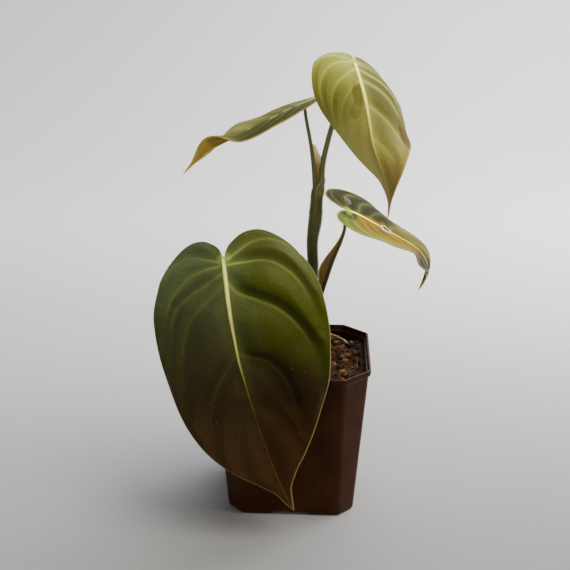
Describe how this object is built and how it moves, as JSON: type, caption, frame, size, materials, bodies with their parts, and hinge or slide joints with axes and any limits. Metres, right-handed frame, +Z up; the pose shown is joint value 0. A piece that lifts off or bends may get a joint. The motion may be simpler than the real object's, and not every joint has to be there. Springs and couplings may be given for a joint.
{
  "type": "potted philodendron",
  "caption": "Young velvet-leaved climbing philodendron standing in a small square nursery pot of bark and coir mix.",
  "frame": {"origin": "middle of the pot's underside, on the flat pad between its four feet notches, at the height that the pot stands on", "axes": "+Z up along the stem, -Y the front where the largest leaf hangs, +X to the right"},
  "size_m": [0.0983, 0.0757, 0.1641],
  "materials": {
    "pot_plastic": "dark brown thin moulded plastic, semi-gloss",
    "coir_mix": "damp fibrous coir and bark crumbs, matt",
    "husk_chip": "rough orange-brown husk chips, matt",
    "root_skin": "tan root skin, matt",
    "stem_green": "smooth olive-green stem and leaf stalks, satin",
    "sheath_skin": "thin papery green-brown sheath, satin",
    "velvet_leaf": "dark green to bronze leaf with a velvety bloom and pale veins",
    "young_leaf": "thin yellow-green young leaf with pale veins and wet patches"
  },
  "bodies": {
    "root": {"pot": "pot_plastic", "potting_mix": "coir_mix", "husk_chip_01": "husk_chip", "husk_chip_02": "husk_chip", "husk_chip_03": "husk_chip", "husk_chip_04": "husk_chip", "husk_chip_05": "husk_chip", "husk_chip_06": "husk_chip", "husk_chip_07": "husk_chip", "husk_chip_08": "husk_chip", "husk_chip_09": "husk_chip", "husk_chip_10": "husk_chip", "surface_root": "root_skin", "root_1": "root_skin", "root_2": "root_skin", "root_3": "root_skin", "root_4": "root_skin", "root_5": "root_skin", "stem": "stem_green", "petiole_front": "stem_green", "petiole_lower_right": "stem_green", "petiole_upper_left": "stem_green", "petiole_upper_right": "stem_green", "sheath_upper": "sheath_skin", "sheath_lower": "sheath_skin", "leaf_front": "velvet_leaf", "leaf_upper_right": "young_leaf", "leaf_upper_left": "young_leaf", "leaf_lower_right": "young_leaf"}
  },
  "joints": []
}
